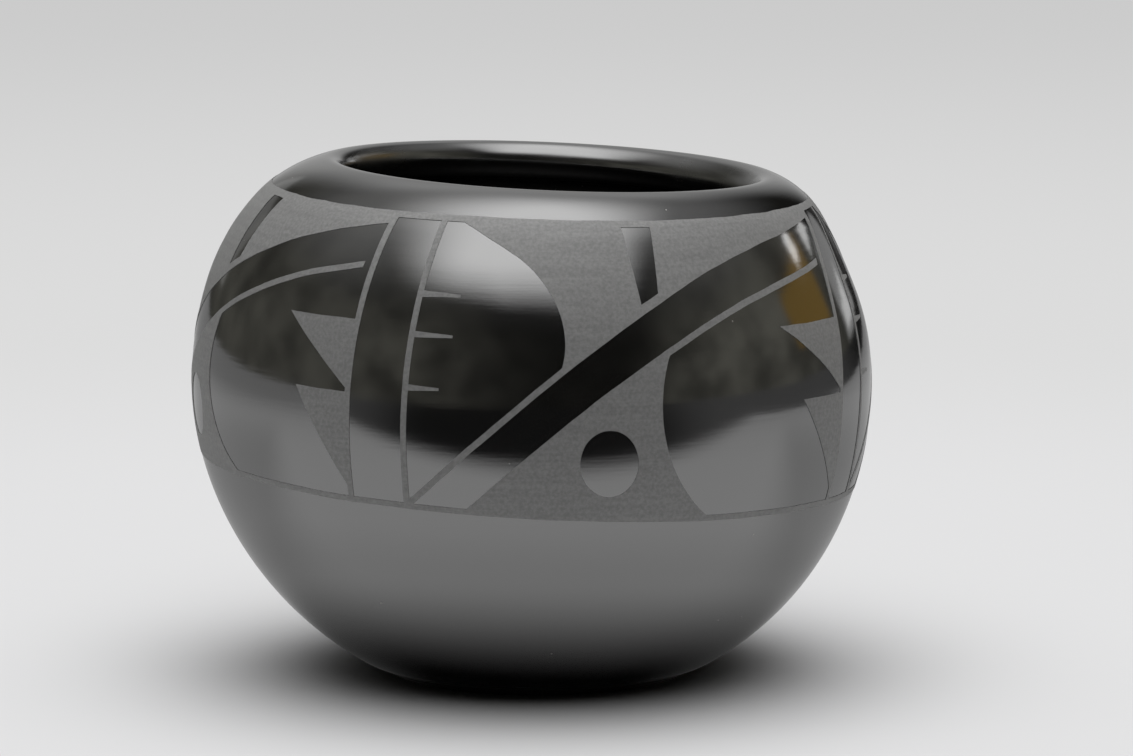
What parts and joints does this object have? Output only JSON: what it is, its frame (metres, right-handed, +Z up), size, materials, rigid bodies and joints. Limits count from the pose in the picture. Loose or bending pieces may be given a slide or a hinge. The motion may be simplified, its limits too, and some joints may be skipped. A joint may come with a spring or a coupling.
{
  "type": "pueblo pottery jar",
  "caption": "Coil-built black pottery jar, stone-burnished, with a painted matte band of half leaves, sloping bars and toothed lines.",
  "frame": {"origin": "centre of the flat foot, on the surface the jar stands on", "axes": "+Z up along the jar's axis, -Y towards the painted panel seen in the picture, +X to the right in that view"},
  "size_m": [0.1602, 0.1602, 0.1196],
  "materials": {
    "fired_clay": "matte, smoked black in the firing, scraped smooth",
    "burnished_slip": "black slip burnished with a stone, glossy but not glazed",
    "matte_slip": "matte grey-black painted slip"
  },
  "bodies": {
    "root": {"base_pat": "fired_clay", "wall_coil_1": "fired_clay", "wall_coil_2": "fired_clay", "wall_coil_3": "fired_clay", "wall_coil_4": "fired_clay", "wall_coil_5": "fired_clay", "wall_coil_6": "fired_clay", "wall_coil_7": "fired_clay", "rim_coil": "fired_clay", "burnished_coat": "burnished_slip", "top_border": "matte_slip", "bottom_border": "matte_slip", "toothed_line_1": "matte_slip", "ticked_line_1": "matte_slip", "leaf_field_1": "matte_slip", "dot_field_1": "matte_slip", "toothed_line_2": "matte_slip", "ticked_line_2": "matte_slip", "leaf_field_2": "matte_slip", "dot_field_2": "matte_slip", "toothed_line_3": "matte_slip", "ticked_line_3": "matte_slip", "leaf_field_3": "matte_slip", "dot_field_3": "matte_slip", "toothed_line_4": "matte_slip", "ticked_line_4": "matte_slip", "leaf_field_4": "matte_slip", "dot_field_4": "matte_slip"}
  },
  "joints": []
}
